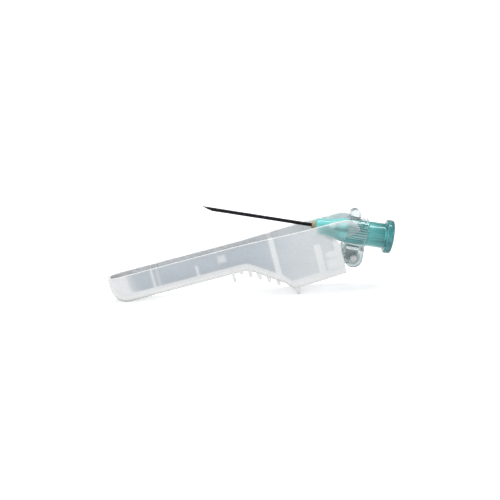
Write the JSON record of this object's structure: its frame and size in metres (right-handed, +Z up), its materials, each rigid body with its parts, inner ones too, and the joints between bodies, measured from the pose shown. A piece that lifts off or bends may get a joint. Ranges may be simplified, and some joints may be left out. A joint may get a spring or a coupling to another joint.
{
  "type": "safety hypodermic needle",
  "caption": "Luer-lock hypodermic needle with a hinged translucent safety sheath that swings over the cannula to cover its point.",
  "frame": {"origin": "centre of the bounding box, on the ground that the part stands on", "axes": "+X toward the luer end, +Y across the part along the hinge axis, +Z up"},
  "size_m": [0.0658, 0.0092, 0.021],
  "materials": {
    "sheath_plastic": "translucent natural polypropylene, satin",
    "hub_plastic": "transparent teal polypropylene, gloss",
    "collar_plastic": "clear styrenic plastic, gloss",
    "cannula_steel": "drawn stainless tube, polished",
    "adhesive": "cured amber epoxy"
  },
  "bodies": {
    "sheath": {"safety_sheath": "sheath_plastic"},
    "needle": {"needle_hub": "hub_plastic", "hinge_collar": "collar_plastic", "cannula": "cannula_steel", "adhesive_bead": "adhesive"}
  },
  "joints": [
    {"name": "sheath_hinge", "type": "hinge", "parent": "sheath", "child": "needle", "pos_m": [0.02276, 0, 0.0078], "axis": [0, 1, 0], "range_deg": [-24.2, 65.8]}
  ]
}
